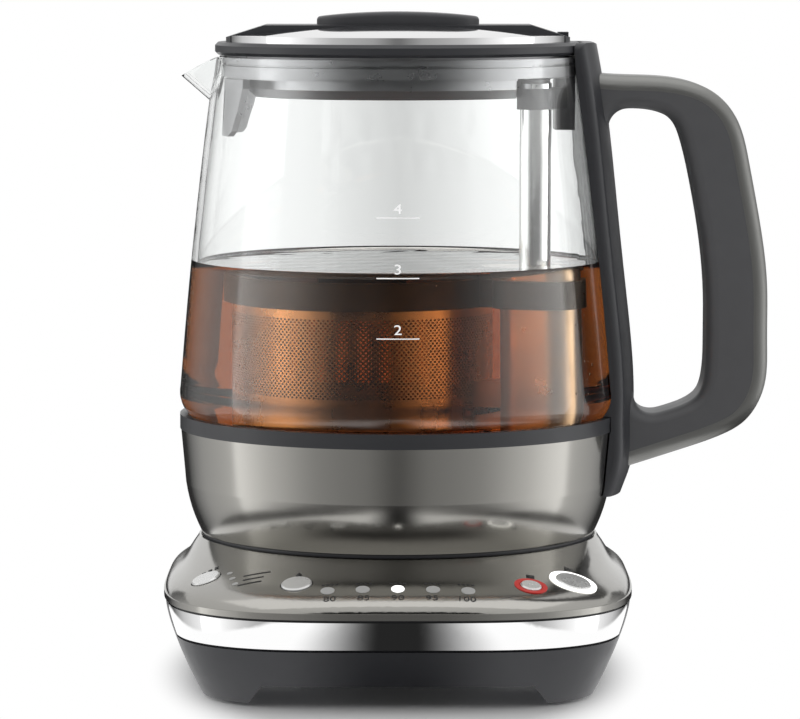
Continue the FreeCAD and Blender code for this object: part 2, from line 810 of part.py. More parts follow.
def sideCurve(points, shift=0.0):
    """A smooth curve beside the glass through the points, moved sideways to the right of its run."""
    moved = []
    for index, (x, z) in enumerate(points):
        x0, z0 = points[max(index - 1, 0)]
        x1, z1 = points[min(index + 1, len(points) - 1)]
        run = math.hypot(x1 - x0, z1 - z0)
        moved.append(Vector(glassWide + x + shift * (z1 - z0) / run, 0, z - shift * (x1 - x0) / run))
    line = Part.BSplineCurve()
    line.interpolate(moved)
    return line.toShape(), moved[0], moved[-1]


def gripPlate(shift):
    """The handle seen from the side, its outer curve pulled in by shift, as a thick plate."""
    outer, start, end = sideCurve(gripOuter, shift)
    inner, low, high = sideCurve(gripInner)
    root = Vector(gripRoot, 0, 0)
    corners = [end, Vector(root.x, 0, end.z), Vector(root.x, 0, low.z), low]
    edges = [outer, inner] + [Part.makeLine(a, b) for a, b in zip(corners, corners[1:])]
    corners = [high, Vector(root.x, 0, high.z), Vector(root.x, 0, start.z), start]
    edges += [Part.makeLine(a, b) for a, b in zip(corners, corners[1:])]
    wire = Part.Wire(Part.__sortEdges__(edges))
    face = Part.Face(wire)
    return face.translated(Vector(0, -gripHalf, 0)).extrude(Vector(0, 2 * gripHalf, 0))


def roundedGrip():
    plate = gripPlate(0)
    long = [e for e in plate.Edges if abs(e.BoundBox.YMax - e.BoundBox.YMin) < 0.01
            and e.Curve.TypeId == "Part::GeomBSplineCurve"]
    return plate.makeFillet(gripRound, long)


def spineCrop():
    """The room that the spine keeps inside, with a rounded top."""
    low = spineTop - 2 * spineCorner
    crown = block(0, spineReach(low), -spineHalf, spineHalf, low, spineTop)
    rounded = [e for e in crown.Edges if e.BoundBox.ZMin > low + 1 and e.BoundBox.XMax > 1]
    crown = crown.makeFillet(spineCorner, rounded)
    below = block(0, 2 * glassWide, -spineHalf, spineHalf, 0, low)
    return crown.fuse(below)


def spineColumn():
    column = Part.makeLoft([spineRing(z) for z, reach in spineBack], True, False)
    tall = [e for e in column.Edges if e.BoundBox.ZLength > glassHeight / 2]
    upright = [e for e in tall if e.BoundBox.XMin > gripRoot - 8]
    column = column.makeFillet(spineRound, upright)
    return column.common(spineCrop())


def handleScrews(grow):
    """Two screws that pull the grip to the spine, driven from behind the glass."""
    along = Vector(1, 0, 0)
    screws = []
    for z in (gripTop - screwInset[0], gripFoot + screwInset[1]):
        start = Vector(spineReach(z) - 1.2, 0, z)
        shank = Part.makeCylinder(screwRadius + grow, screwLength, start, along)
        head = Part.makeCylinder(screwHead + grow, 1.0 + grow, start - along * (1.0 + grow), along)
        screws.append(head.fuse(shank).removeSplitter())
    return screws


def handleParts():
    column = spineColumn()
    whole = roundedGrip().cut(column)
    core = gripPlate(trimThick)
    shafts = handleScrews(0.05)
    grip = without(whole.common(core), shafts)
    trim = whole.cut(core)
    body = without(column, grownJug() + shafts)
    return body, grip, trim


# Lift post and drive


def postTube():
    return tube(postRadius, postRadius - postWall, postFoot, postTop, postX, postY)


def postCap():
    """The bright tip that closes the post."""
    stem = cylinder(postRadius - postWall - 0.05, postTop - 4, postTop, postX, postY)
    head = cylinder(postRadius, postTop, postTop + postTip, postX, postY)
    rim = [e for e in head.Edges if e.BoundBox.ZMin > postTop + postTip - 0.01]
    pocket = cylinder(screwSize + runFit, postTop - 5, postTop - 1.5, postX, postY)
    return head.makeChamfer(postTipEdge, rim).fuse(stem).cut(pocket).removeSplitter()


def postSeal():
    return tube(postRadius + 2.2, postRadius, jugFloorTop, jugFloorTop + 1.8, postX, postY)


def postNut():
    high = jugFloorTop - floorThick
    low = high - 0.7 * postStub
    reach = postRadius + 3.8
    turns = [math.radians(60 * k) for k in range(7)]
    hexagon = [Vector(postX + reach * math.cos(a), postY + reach * math.sin(a), low) for a in turns]
    body = Part.Face(Part.makePolygon(hexagon)).extrude(Vector(0, 0, high - low))
    return body.cut(cylinder(postRadius, low - 1, high + 1, postX, postY))


def postBracket():
    """The moulding that holds the top of the post, hooked through the notch in the glass."""
    collar = cylinder(postRadius + bracketWall, bracketFoot, postTop, postX, postY)
    hub = block(blockInner, blockOuter, -blockHalf, blockHalf, blockFoot, glassTop - 6.5)
    upright = [e for e in hub.Edges if e.BoundBox.ZLength > 1]
    hub = hub.makeFillet(1.5, upright)
    side = notchHalf - 0.4
    hook = block(blockInner + 1, neckRadius - 0.8, -side, side, glassTop - notchDepth + 0.3, glassTop - 0.5)
    neck = block(blockInner + 1, blockOuter, -side, side, glassTop - notchDepth - 2, glassTop - 0.5)
    whole = fused([collar, bracketArm(0, bracketFoot), hub, neck, hook])
    return whole.cut(cylinder(postRadius + 0.05, 0, glassTop, postX, postY))


def bracketArm(grow, low):
    """The beam from the post to the block on the handle side."""
    alongX = blockInner + 2.0 - postX
    alongY = -blockHalf / 3 - postY
    beam = block(0, math.hypot(alongX, alongY), -4 - grow, 4 + grow, low, postTop + grow)
    beam = beam.rotated(Vector(0, 0, 0), up, math.degrees(math.atan2(alongY, alongX)))
    return beam.translated(Vector(postX, postY, 0))


def screwBush():
    """The bearing at the foot of the post that the lift screw turns in."""
    return tube(postRadius - postWall - 0.02, screwSize + runFit, postFoot, postFoot + 5, postX, postY)


def leadScrew():
    rod = cylinder(screwSize, postFoot - 3.5, postTop - 2.0, postX, postY)
    hub = cylinder(3.4, postFoot - 7.2, postFoot - 1.0, postX, postY)
    socket = cylinder(shaftRadius + 0.05, postFoot - 8, postFoot - 3.6, postX, postY)
    return rod.fuse(hub).cut(socket).removeSplitter()


def carriageNut():
    high = carriageFoot + carriageHeight
    body = tube(carriageRadius, screwSize + runFit, carriageFoot, high, postX, postY)
    return body.cut(tube(carriageRadius + 1, carriageRadius - 1.5, carriageFoot + 3, high - 3, postX, postY))


def carriageMagnets():
    low = carriageFoot + 3
    step = (carriageHeight - 6) / 2
    return Part.makeCompound([tube(carriageRadius - 0.1, carriageRadius - 1.5, low + step * k + 0.1,
                                   low + step * (k + 1) - 0.1, postX, postY) for k in range(2)])


def liftMotor():
    """The geared motor under the post, with the flat-sided shaft that turns the screw."""
    gearbox = cylinder(motorRadius, motorTop - gearboxHeight, motorTop, postX, postY)
    flat = motorRadius - 1.2
    sides = block(postX - motorRadius, postX + motorRadius, postY - flat, postY + flat, 0, motorTop)
    can = cylinder(motorRadius, motorTop - motorHeight, motorTop - gearboxHeight, postX, postY).common(sides)
    shaft = cylinder(shaftRadius, motorTop, motorTop + 4.4, postX, postY)
    nose = cylinder(2.6, motorTop, motorTop + 0.6, postX, postY)
    return fused([gearbox, can, shaft, nose])


def motorBracket():
    """The steel strap that hangs the motor under the jug floor."""
    reach = motorRadius + 2.4
    plate = block(postX - reach, postX + reach, postY - 5, postY + 5, motorTop, motorTop + strapThick)
    legs = [block(postX + a, postX + a + strapThick, postY - 5, postY + 5, motorTop, jugFloorTop - floorThick)
            for a in (-reach, reach - strapThick)]
    return fused([plate] + legs).cut(cylinder(3.0, 0, jugFloorTop, postX, postY))


# Tea basket


def basketCup():
    cup = cylinder(basketRadius, basketFoot, basketTop, basketX)
    low = [e for e in cup.Edges if e.BoundBox.ZMax < basketFoot + 0.01]
    cup = cup.makeFillet(basketRound, low)
    hollow = cylinder(basketRadius - basketWall, basketFoot + basketWall, basketTop + 1, basketX)
    low = [e for e in hollow.Edges if e.BoundBox.ZMax < basketFoot + basketWall + 0.01]
    return cup.cut(hollow.makeFillet(basketRound - basketWall, low))


def towardsPost(distance):
    """A point on the line from the post to the middle of the basket."""
    run = math.hypot(basketX - postX, postY)
    return (postX + (basketX - postX) * distance / run, postY - postY * distance / run)


def slider(grow, low, high):
    """The upright shoe that rides on the post: two round ends joined by flat sides."""
    near = cylinder(sliderRadius + grow, low, high, postX, postY)
    x, y = towardsPost(sliderReach)
    far = cylinder(sliderRadius + grow, low, high, x, y)
    angle = math.degrees(math.atan2(y - postY, x - postX))
    web = block(0, sliderReach, -sliderRadius - grow, sliderRadius + grow, low, high)
    web = web.rotated(Vector(0, 0, 0), up, angle).translated(Vector(postX, postY, 0))
    return fused([near, far, web])


def magnetPocket(fit):
    x, y = towardsPost(sliderReach + 1.5)
    low = carriageFoot + 1
    return cylinder(magnetRadius + fit, low - fit, low + carriageHeight - 2 + fit, x, y)


def basketSlider():
    body = slider(0, basketFoot, sliderTop)
    bore = cylinder(postRadius + slideFit, 0, glassTop, postX, postY)
    return without(body, [bore, magnetPocket(0)])


def basketRing():
    """The moulded rim of the basket, with the arms that hold it to the shoe."""
    wide = basketRadius + ringWall
    ring = tube(wide, basketRadius + 0.05, ringFoot, ringTop, basketX)
    inner = basketRadius - ringSeat
    seat = tube(basketRadius + 0.1, inner, basketTop + 0.05, basketTop + 2.0, basketX)
    collar = slider(ringWall, ringFoot, ringTop)
    run = math.hypot(basketX - postX, postY)
    angle = math.degrees(math.atan2(-postY, basketX - postX))
    arm = block(0, run - basketRadius + 1, -armHalf, armHalf, ringFoot, ringTop)
    arm = arm.rotated(Vector(0, 0, 0), up, angle).translated(Vector(postX, postY, 0))
    arm = arm.cut(cylinder(basketRadius + 1, 0, glassTop, basketX))
    whole = fused([ring, seat, collar, arm])
    inside = cylinder(basketRadius + 0.05, 0, basketTop + 0.05, basketX)
    above = cylinder(inner, 0, glassTop, basketX)
    return without(whole, [slider(0.05, 0, glassTop), inside, above])


def basketStay():
    """The lower stay between the cup and the shoe."""
    run = math.hypot(basketX - postX, postY)
    angle = math.degrees(math.atan2(-postY, basketX - postX))
    stay = block(sliderReach, run - basketRadius + 1.2, -armHalf, armHalf, basketFoot + 4, basketFoot + 12)
    stay = stay.rotated(Vector(0, 0, 0), up, angle).translated(Vector(postX, postY, 0))
    cup = cylinder(basketRadius + 0.02, 0, glassTop, basketX)
    return without(stay, [slider(0.02, 0, glassTop), cup])


def basketLid():
    """A flat lid that drops into the rim, with a low finger bar."""
    foot = basketTop + 2.0
    disc = cylinder(basketRadius - lidFit, foot, foot + basketLidThick, basketX)
    bar = block(basketX - fingerHalf, basketX + fingerHalf, -3, 3, foot + basketLidThick, ringTop + 1.5)
    edges = [e for e in bar.Edges if e.BoundBox.ZMin > foot + basketLidThick]
    bar = bar.makeFillet(1.2, edges)
    return disc.fuse(bar).removeSplitter()


# Jug lid


def domeEdges(lift):
    """The crowned top of the lid, from the axis out to the edge of the bright plates."""
    edge = lidRimTop + plateEdge + lift
    crown = edge + plateRise
    middle = edge + plateRise * 0.75
    return (0, crown), (plateRadius / 2, middle), (plateRadius, edge)


def lidDome(lift, radius, foot):
    a, b, c = domeEdges(lift)
    solid = spun([arcThrough(a, b, c),
                  Part.makeLine(Vector(c[0], 0, c[1]), Vector(c[0], 0, foot)),
                  Part.makeLine(Vector(c[0], 0, foot), Vector(0, 0, foot)),
                  Part.makeLine(Vector(0, 0, foot), Vector(a[0], 0, a[1]))])
    return solid.common(cylinder(radius, foot, bandTop + knobHeight))


def lidBand():
    """The dark bar across the lid, chamfered down to the rim at both ends."""
    low = lidRimTop - 1
    points = [(-bandEnd, low), (-bandEnd, bandTop - bandDrop), (-bandFlat, bandTop), (bandFlat, bandTop),
              (bandEnd, bandTop - bandDrop), (bandEnd, low)]
    spots = [Vector(x, -bandHalf, z) for x, z in points]
    face = Part.Face(Part.makePolygon(spots + spots[:1]))
    return face.extrude(Vector(0, 2 * bandHalf, 0)).common(cylinder(bandEnd, low, bandTop + 5))


def lidCap():
    rim = cylinder(lidRadius, lidRimFoot, lidRimTop)
    sharp = [e for e in rim.Edges if isinstance(e.Curve, Part.Circle)]
    rim = rim.makeChamfer(lidRimEdge, sharp)
    core = lidDome(-plateThick - 0.05, plateRadius - plateThick, lidRimTop - 1)
    tab = block(bandEnd - 4, bandEnd - 0.6, -4, 4, lidRimTop - 1, bandTop - 2.4)
    hollow = lidDome(-plateThick - 2.5, skirtCore - 2, lidRimFoot - 1)
    return without(fused([rim, core, lidBand(), tab]), [hollow])


def lidPlates():
    shell = lidDome(0, plateRadius, lidRimTop).cut(lidDome(-plateThick, plateRadius - plateThick, skirtStep))
    gap = block(-lidRadius, lidRadius, -bandHalf - 0.1, bandHalf + 0.1, skirtStep, knobTop)
    halves = shell.cut(gap).Solids
    return sorted(halves, key=lambda s: s.CenterOfMass.y)


def lidKnob():
    straight = (knobLength - knobWidth) / 2
    ends = [cylinder(knobWidth / 2, bandTop, knobTop, side * straight) for side in (-1, 1)]
    middle = block(-straight, straight, -knobWidth / 2, knobWidth / 2, bandTop, knobTop)
    low = Vector(0, -knobWidth, knobTop - knobCrown)
    crown = Part.makeCylinder(knobCrown, 2 * knobWidth, low, Vector(0, 1, 0))
    body = fused(ends + [middle]).common(crown)
    rim = [e for e in body.Edges if e.BoundBox.ZMin > bandTop + knobRound]
    return body.makeFillet(knobRound, rim)


def postRoom(grow):
    """The corner that the plug of the lid leaves free for the top of the post and its bracket."""
    wide = postRadius + bracketWall + postHead + grow
    low = skirtFoot - skirtRise
    high = postTop + postTip + 1.2 + grow
    reach = 2 * skirtRadius
    corner = cylinder(wide, low, high, postX, postY)
    ahead = block(postX - wide, reach, -reach, postY, low, high)
    beside = block(postX, reach, -reach, postY + wide, low, high)
    return fused([corner, ahead, beside, bracketArm(1.0 + grow, low)])


def bracketRoom():
    side = blockHalf + 1.5
    return block(blockInner - 1.5, neckRadius + 10, -side, side, skirtFoot - 20, glassTop)


def skirtForm(inset, low):
    high = lidRimFoot + (inset and 1)
    step = skirtStep + inset
    edges = profile((0, low), (skirtCore - inset - skirtCorner, low), (skirtCore - inset, low + skirtCorner),
                    (skirtCore - inset, step), (skirtRadius - inset, step), (skirtRadius - inset, high),
                    (0, high))
    return spun(edges)


def lidSkirt():
    """The plug of the lid: a wide part for the seals and a narrower core below it."""
    outer = skirtForm(0, skirtFoot).cut(postRoom(0))
    inner = skirtForm(skirtWall, skirtFoot + skirtWall).cut(postRoom(skirtWall))
    grooves = [tube(skirtRadius + 2, skirtRadius - 1.2, skirtStep + low, skirtStep + high)
               for low, high in sealBands]
    return without(outer, [inner, bracketRoom()] + grooves)


def lidSeals():
    rings = [tube(sealReach, skirtRadius - 1.15, skirtStep + low + 0.05, skirtStep + high - 0.05)
             for low, high in sealBands]
    return Part.makeCompound([ring.cut(bracketRoom()) for ring in rings])


def pourGuard():
    """The curved tongue behind the pouring lip, slotted so that it strains what is poured."""
    high = skirtStep - 0.05
    spread = math.tan(math.radians(guardLean)) * guardDrop
    foot = Vector(0, 0, guardFoot)
    outer = Part.makeCone(guardRadius + spread, guardRadius, high - guardFoot, foot, up)
    inside = guardRadius - guardThick
    inner = Part.makeCone(inside + spread, inside, high - guardFoot, foot, up)
    corners = []
    for angle, z in ((guardTopAngle, skirtStep + 1), (guardTopAngle, skirtStep - 3),
                     (guardTopAngle - 3, guardFoot + 8), (guardFootAngle + 4, guardFoot + 1.6),
                     (guardFootAngle, guardFoot - 0.1)):
        corners.append((guardRadius * math.sin(math.radians(angle)), z))
    edge = corners + [(-y, z) for y, z in reversed(corners)]
    spots = [Vector(-2 * guardRadius, y, z) for y, z in edge]
    window = Part.Face(Part.makePolygon(spots + spots[:1])).extrude(Vector(2 * guardRadius, 0, 0))
    slots = []
    for index in range(guardSlots):
        y = (index - (guardSlots - 1) / 2) * 5.4
        slots.append(block(-2 * guardRadius, 0, y - 1.3, y + 1.3, guardFoot + 5, skirtStep - 4))
    return without(outer.cut(inner).common(window), slots)


if __name__ == "__main__":
    os.makedirs("parts", exist_ok=True)
    skin = shoulder(0, lipTop)
    caps, rings, lenses, small, holes = panelParts(skin)
    save("base_top_shell", topShell(skin, holes))
    save("base_lower_body", lowerBody())
    save("chrome_fascia", fascia())
    save("rubber_feet", rubberFeet())
    save("base_screws", baseScrews())
    save("cord_gland", cordGland())
    save("base_connector", baseConnector())
    save("control_board", controlBoard())
    save("power_board", powerBoard())
    for name, cap in caps.items():
        save(name, cap)
    for name, ring in rings.items():
        save(name.replace("button", "light_ring"), ring)
    save("temperature_lenses", Part.makeCompound(lenses))
    save("strength_lenses", Part.makeCompound(small))
    save("glass_jug", glassJug())
    save("collar_ring", collarRing())
    save("glass_seal", glassSeal())
    save("jug_floor", jugFloor())
    save("heating_element", heater())
    save("temperature_sensor", temperatureSensor())
    save("steel_housing", steelHousing())
    save("jug_base_cover", jugCover())
    save("jug_base_screws", coverScrews())
    save("jug_connector", jugConnector())
    body, grip, trim = handleParts()
    save("spine", body)
    save("handle_grip", grip)
    save("handle_trim", trim)
    save("handle_screws", Part.makeCompound(handleScrews(0)))
    save("post_tube", postTube())
    save("post_cap", postCap())
    save("post_seal", postSeal())
    save("post_nut", postNut())
    save("post_bracket", postBracket())
    save("screw_bush", screwBush())
    save("lead_screw", leadScrew())
    save("carriage_nut", carriageNut())
    save("carriage_magnets", carriageMagnets())
    save("lift_motor", liftMotor())
    save("motor_bracket", motorBracket())
    save("basket_cup", basketCup())
    save("basket_ring", basketRing())
    save("basket_stay", basketStay())
    save("basket_slider", basketSlider())
    save("slider_magnet", magnetPocket(-0.05))
    save("basket_lid", basketLid())
    save("lid_cap", lidCap())
    front, rear = lidPlates()
    save("lid_front_plate", front)
    save("lid_rear_plate", rear)
    save("lid_knob", lidKnob())
    save("lid_skirt", lidSkirt())
    save("lid_seals", lidSeals())
    save("pour_guard", pourGuard())
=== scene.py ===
import math
import random
import bpy
import bmesh
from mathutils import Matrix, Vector
from mathutils.bvhtree import BVHTree


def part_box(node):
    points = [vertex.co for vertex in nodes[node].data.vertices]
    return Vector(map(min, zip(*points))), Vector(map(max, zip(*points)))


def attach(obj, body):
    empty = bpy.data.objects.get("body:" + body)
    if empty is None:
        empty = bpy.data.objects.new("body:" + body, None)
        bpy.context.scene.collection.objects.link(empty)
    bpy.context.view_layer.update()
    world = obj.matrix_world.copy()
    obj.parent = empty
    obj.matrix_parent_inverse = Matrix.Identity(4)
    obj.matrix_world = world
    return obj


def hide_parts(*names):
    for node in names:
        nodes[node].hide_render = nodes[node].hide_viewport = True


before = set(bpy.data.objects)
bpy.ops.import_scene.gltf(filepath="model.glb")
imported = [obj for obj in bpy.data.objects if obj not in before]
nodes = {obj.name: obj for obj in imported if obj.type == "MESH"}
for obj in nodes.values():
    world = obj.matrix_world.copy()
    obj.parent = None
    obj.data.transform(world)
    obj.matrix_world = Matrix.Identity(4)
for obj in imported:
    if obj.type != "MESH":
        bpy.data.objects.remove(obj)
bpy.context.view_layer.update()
studio = bpy.context.scene
mm = 0.001
rayStart = 0.2          # outside the object on every side
print("frame loaded:", len(nodes), "nodes")


# small helpers for meshes

def linkPiece(name, mesh, finish):
    piece = bpy.data.objects.new(name, mesh)
    studio.collection.objects.link(piece)
    mesh.materials.append(finish)
    return piece


def addPiece(name, mesh, body, finish):
    piece = linkPiece(name, mesh, finish)
    for face in mesh.polygons:
        face.use_smooth = True
    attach(piece, body)
    return piece


def meshFrom(name, points, faces):
    mesh = bpy.data.meshes.new(name)
    mesh.from_pydata(points, [], faces)
    mesh.update()
    return mesh


def surfaceOf(nodeName):
    # a tree that rays can be cast at, to lay pieces on a node
    mesh = nodes[nodeName].data
    return BVHTree.FromPolygons([v.co for v in mesh.vertices], [f.vertices for f in mesh.polygons])


def dropOn(tree, x, y):
    # the first point of a surface straight below x and y, which are in millimetres
    return tree.ray_cast(Vector((x * mm, y * mm, rayStart)), Vector((0, 0, -1)))[0]


def bandBetween(low, high):
    # faces between two rings of points; a ring may be one point repeated
    turns = len(low)
    faces = []
    for k in range(turns):
        corners = [low[k], low[(k + 1) % turns], high[(k + 1) % turns], high[k]]
        face = list(dict.fromkeys(corners))
        if len(face) > 2:
            faces.append(face)
    return faces


def spunMesh(name, profile, turns):
    # profile is a list of (radius, height); a radius of 0 closes the end to one point
    points = []
    rings = []
    for radius, height in profile:
        if radius == 0:
            rings.append([len(points)] * turns)
            points.append((0, 0, height))
            continue
        rings.append([len(points) + k for k in range(turns)])
        for k in range(turns):
            angle = 2 * math.pi * k / turns
            points.append((radius * math.cos(angle), radius * math.sin(angle), height))
    faces = []
    for low, high in zip(rings, rings[1:]):
        faces += bandBetween(low, high)
    return meshFrom(name, points, faces)


def sharpen(mesh, degrees):
    for face in mesh.polygons:
        face.use_smooth = True
    mesh.set_sharp_from_angle(angle=math.radians(degrees))


def closeNormals(mesh):
    work = bmesh.new()
    work.from_mesh(mesh)
    bmesh.ops.recalc_face_normals(work, faces=work.faces)
    work.to_mesh(mesh)
    work.free()


# small helpers for printed marks

def writtenOutline(words, height, wide):
    # the flat outline of a number as points and faces, centred on 0, with a front and a back
    settings = {"capHeight": 0.72, "curveSteps": 3}
    curve = bpy.data.curves.new("written", "FONT")
    curve.body = words
    curve.size = height / settings["capHeight"]
    curve.align_x = "CENTER"
    curve.extrude = 1.0
    curve.resolution_u = settings["curveSteps"]
    holder = bpy.data.objects.new("written", curve)
    flat = bpy.data.meshes.new_from_object(holder)
    points = [(v.co.x * wide, v.co.y - height / 2, v.co.z) for v in flat.vertices]
    faces = [list(f.vertices) for f in flat.polygons]
    bpy.data.objects.remove(holder)
    bpy.data.curves.remove(curve)
    bpy.data.meshes.remove(flat)
    return points, faces


def drawnOutline(corners):
    # a flat mark from its corners, with a front, a back and an edge all round
    n = len(corners)
    points = [(x, y, 1.0) for x, y in corners] + [(x, y, -1.0) for x, y in corners]
    faces = [list(range(n)), [n + k for k in reversed(range(n))]]
    faces += [[k, n + k, n + (k + 1) % n, (k + 1) % n] for k in range(n)]
    return points, faces


def movedOutline(outline, x, y):
    points, faces = outline
    return [(x + px, py + y, side) for px, py, side in points], faces


def bar(x, y, wide, high, steps=1):
    low = [(x - wide / 2 + wide * k / steps, y - high / 2) for k in range(steps + 1)]
    return low + [(px, y + high / 2) for px, py in reversed(low)]


def printedMesh(name, outlines, layDown):
    # layDown takes x, y and the side (1 front, -1 back) and gives the point on the object
    points = []
    faces = []
    for outline in outlines:
        start = len(points)
        points += [layDown(x, y, side) for x, y, side in outline[0]]
        faces += [[start + k for k in face] for face in outline[1]]
    return meshFrom(name, points, faces)


# small helpers for finishes; owner is a material or the world

def addNode(owner, kind, inputs=None, **settings):
    made = owner.node_tree.nodes.new(kind)
    for key, value in settings.items():
        setattr(made, key, value)
    for key, value in (inputs or {}).items():
        if isinstance(value, bpy.types.NodeSocket):
            owner.node_tree.links.new(value, made.inputs[key])
        else:
            made.inputs[key].default_value = value
    return made


def compute(owner, operation, *values):
    made = addNode(owner, "ShaderNodeMath", dict(enumerate(values)), operation=operation)
    return made.outputs[0]


def remap(owner, value, source, target=(0.0, 1.0), ease="LINEAR"):
    # takes the span source of a value to the span target
    made = addNode(owner, "ShaderNodeMapRange", {
        "Value": value, "From Min": source[0], "From Max": source[1],
        "To Min": target[0], "To Max": target[1]}, interpolation_type=ease)
    return made.outputs["Result"]


def mixShaders(owner, share, one, two):
    return addNode(owner, "ShaderNodeMixShader", {0: share, 1: one, 2: two}).outputs["Shader"]


def emission(owner, colour, strength):
    made = addNode(owner, "ShaderNodeEmission", {"Color": colour, "Strength": strength})
    return made.outputs["Emission"]


def fillRamp(ramp, levels):
    # levels is a list of (position, brightness)
    stops = ramp.color_ramp.elements
    while len(stops) < len(levels):
        stops.new(0.5)
    for stop, (position, level) in zip(stops, levels):
        stop.position = position
    for stop, (position, level) in zip(stops, levels):
        stop.color = (level, level, level, 1)


def shaderOf(finish):
    return finish.node_tree.nodes["Principled BSDF"]


def newFinish(name, sockets):
    finish = bpy.data.materials.new(name)
    finish.use_nodes = True
    for key, value in sockets.items():
        shaderOf(finish).inputs[key].default_value = value
    return finish


def intoOutput(finish, socket, result):
    output = finish.node_tree.nodes["Material Output"]
    finish.node_tree.links.new(result, output.inputs[socket])


def placeOn(finish, stretch=(1, 1, 1)):
    coords = addNode(finish, "ShaderNodeTexCoord")
    mapping = addNode(finish, "ShaderNodeMapping", {
        "Vector": coords.outputs["Object"], "Scale": stretch})
    return mapping.outputs["Vector"]


def ovalDistance(finish, halves):
    # 1 on an oval with these half widths round the origin, less inside it
    made = addNode(finish, "ShaderNodeVectorMath", {
        0: placeOn(finish, (1 / halves[0], 1 / halves[1], 1))}, operation="LENGTH")
    return made.outputs["Value"]


def drift(finish, socket, size, low, high, stretch=(1, 1, 1)):
    # lets a value or a colour wander between low and high, in patches of that size
    settings = {"detail": 5.0, "roughness": 0.6, "usualSpan": (0.3, 0.7)}
    noise = addNode(finish, "ShaderNodeTexNoise", {
        "Vector": placeOn(finish, stretch), "Scale": 1 / size,
        "Detail": settings["detail"], "Roughness": settings["roughness"]})
    if isinstance(low, tuple):
        # sockets of a colour mix: 0 factor, 6 first colour, 7 second colour; output 2 colour
        mix = addNode(finish, "ShaderNodeMix", {
            0: noise.outputs["Fac"], 6: (*low, 1), 7: (*high, 1)}, data_type="RGBA")
        result = mix.outputs[2]
    else:
        result = remap(finish, noise.outputs["Fac"], settings["usualSpan"], (low, high))
    finish.node_tree.links.new(result, shaderOf(finish).inputs[socket])


def grain(finish, size, depth):
    # fine relief of that size and depth, in metres
    noise = addNode(finish, "ShaderNodeTexNoise", {
        "Vector": placeOn(finish), "Scale": 1 / size, "Detail": 3.0})
    bump = addNode(finish, "ShaderNodeBump", {
        "Height": noise.outputs["Fac"], "Distance": depth, "Strength": 1.0})
    finish.node_tree.links.new(bump.outputs["Normal"], shaderOf(finish).inputs["Normal"])


def letLampsThrough(finish, tint):
    # lamps shine through clear pieces instead of leaving a dark shadow
    path = addNode(finish, "ShaderNodeLightPath")
    clear = addNode(finish, "ShaderNodeBsdfTransparent", {"Color": (*tint, 1)})
    intoOutput(finish, "Surface", mixShaders(
        finish, path.outputs["Is Shadow Ray"], shaderOf(finish).outputs["BSDF"],
        clear.outputs["BSDF"]))


# finishes of this tea maker

def smokedMetal():
    # dark lacquered steel: a soft sheen with a thin clear coat over it
    finish = newFinish("smokedMetal", {
        "Base Color": (0.375, 0.366, 0.34, 1), "Metallic": 1.0, "Roughness": 0.16,
        "Coat Weight": 0.3, "Coat Roughness": 0.03})
    drift(finish, "Roughness", 0.03, 0.14, 0.19)
    drift(finish, "Base Color", 0.0004, (0.36, 0.351, 0.325), (0.39, 0.381, 0.355))
    return finish


def trimMetal():
    finish = newFinish("trimMetal", {
        "Base Color": (0.25, 0.25, 0.24, 1), "Metallic": 0.85, "Roughness": 0.38})
    drift(finish, "Roughness", 0.015, 0.34, 0.44)
    grain(finish, 0.0004, 0.000002)
    return finish


def polishedMetal(name, colour, roughness):
    finish = newFinish(name, {"Base Color": (*colour, 1), "Metallic": 1.0, "Roughness": roughness})
    drift(finish, "Roughness", 0.012, 0.7 * roughness, 1.4 * roughness)
    return finish


def brushedSteel():
    # fine lines that run along the piece
    finish = newFinish("brushedSteel", {
        "Base Color": (0.62, 0.615, 0.6, 1), "Metallic": 1.0, "Roughness": 0.28,
        "Anisotropic": 0.4})
    drift(finish, "Roughness", 0.0003, 0.22, 0.32, (1, 1, 0.04))
    return finish


def moulded(name, colour, roughness):
    # plastic from a mould: a fine grain and slightly uneven gloss
    settings = {"darker": 0.92, "lighter": 1.08, "colourPatch": 0.006, "glossPatch": 0.01,
                "smoother": 0.05, "rougher": 0.06, "grainSize": 0.00025, "grainDepth": 0.0000012}
    finish = newFinish(name, {"Base Color": (*colour, 1), "Roughness": roughness})
    drift(finish, "Base Color", settings["colourPatch"],
          tuple(settings["darker"] * c for c in colour),
          tuple(settings["lighter"] * c for c in colour))
    drift(finish, "Roughness", settings["glossPatch"],
          roughness - settings["smoother"], roughness + settings["rougher"])
    grain(finish, settings["grainSize"], settings["grainDepth"])
    return finish


def satinPlastic():
    # the grey of the lid's plug and seals, with a metal-like sheen
    finish = newFinish("satinPlastic", {
        "Base Color": (0.42, 0.42, 0.43, 1), "Metallic": 0.75, "Roughness": 0.33})
    drift(finish, "Roughness", 0.01, 0.26, 0.36)
    drift(finish, "Base Color", 0.008, (0.40, 0.40, 0.41), (0.44, 0.44, 0.45))
    return finish


def silverPlastic():
    # the buttons: plastic with a silver skin
    finish = newFinish("silverPlastic", {
        "Base Color": (0.84, 0.84, 0.83, 1), "Metallic": 0.6, "Roughness": 0.24})
    drift(finish, "Roughness", 0.004, 0.2, 0.3)
    return finish


def clearGlass():
    finish = newFinish("clearGlass", {
        "Base Color": (0.985, 0.995, 0.99, 1), "Roughness": 0.0, "IOR": 1.47,
        "Transmission Weight": 1.0, "Specular IOR Level": 0.12})
    letLampsThrough(finish, (0.96, 0.97, 0.97))
    return finish


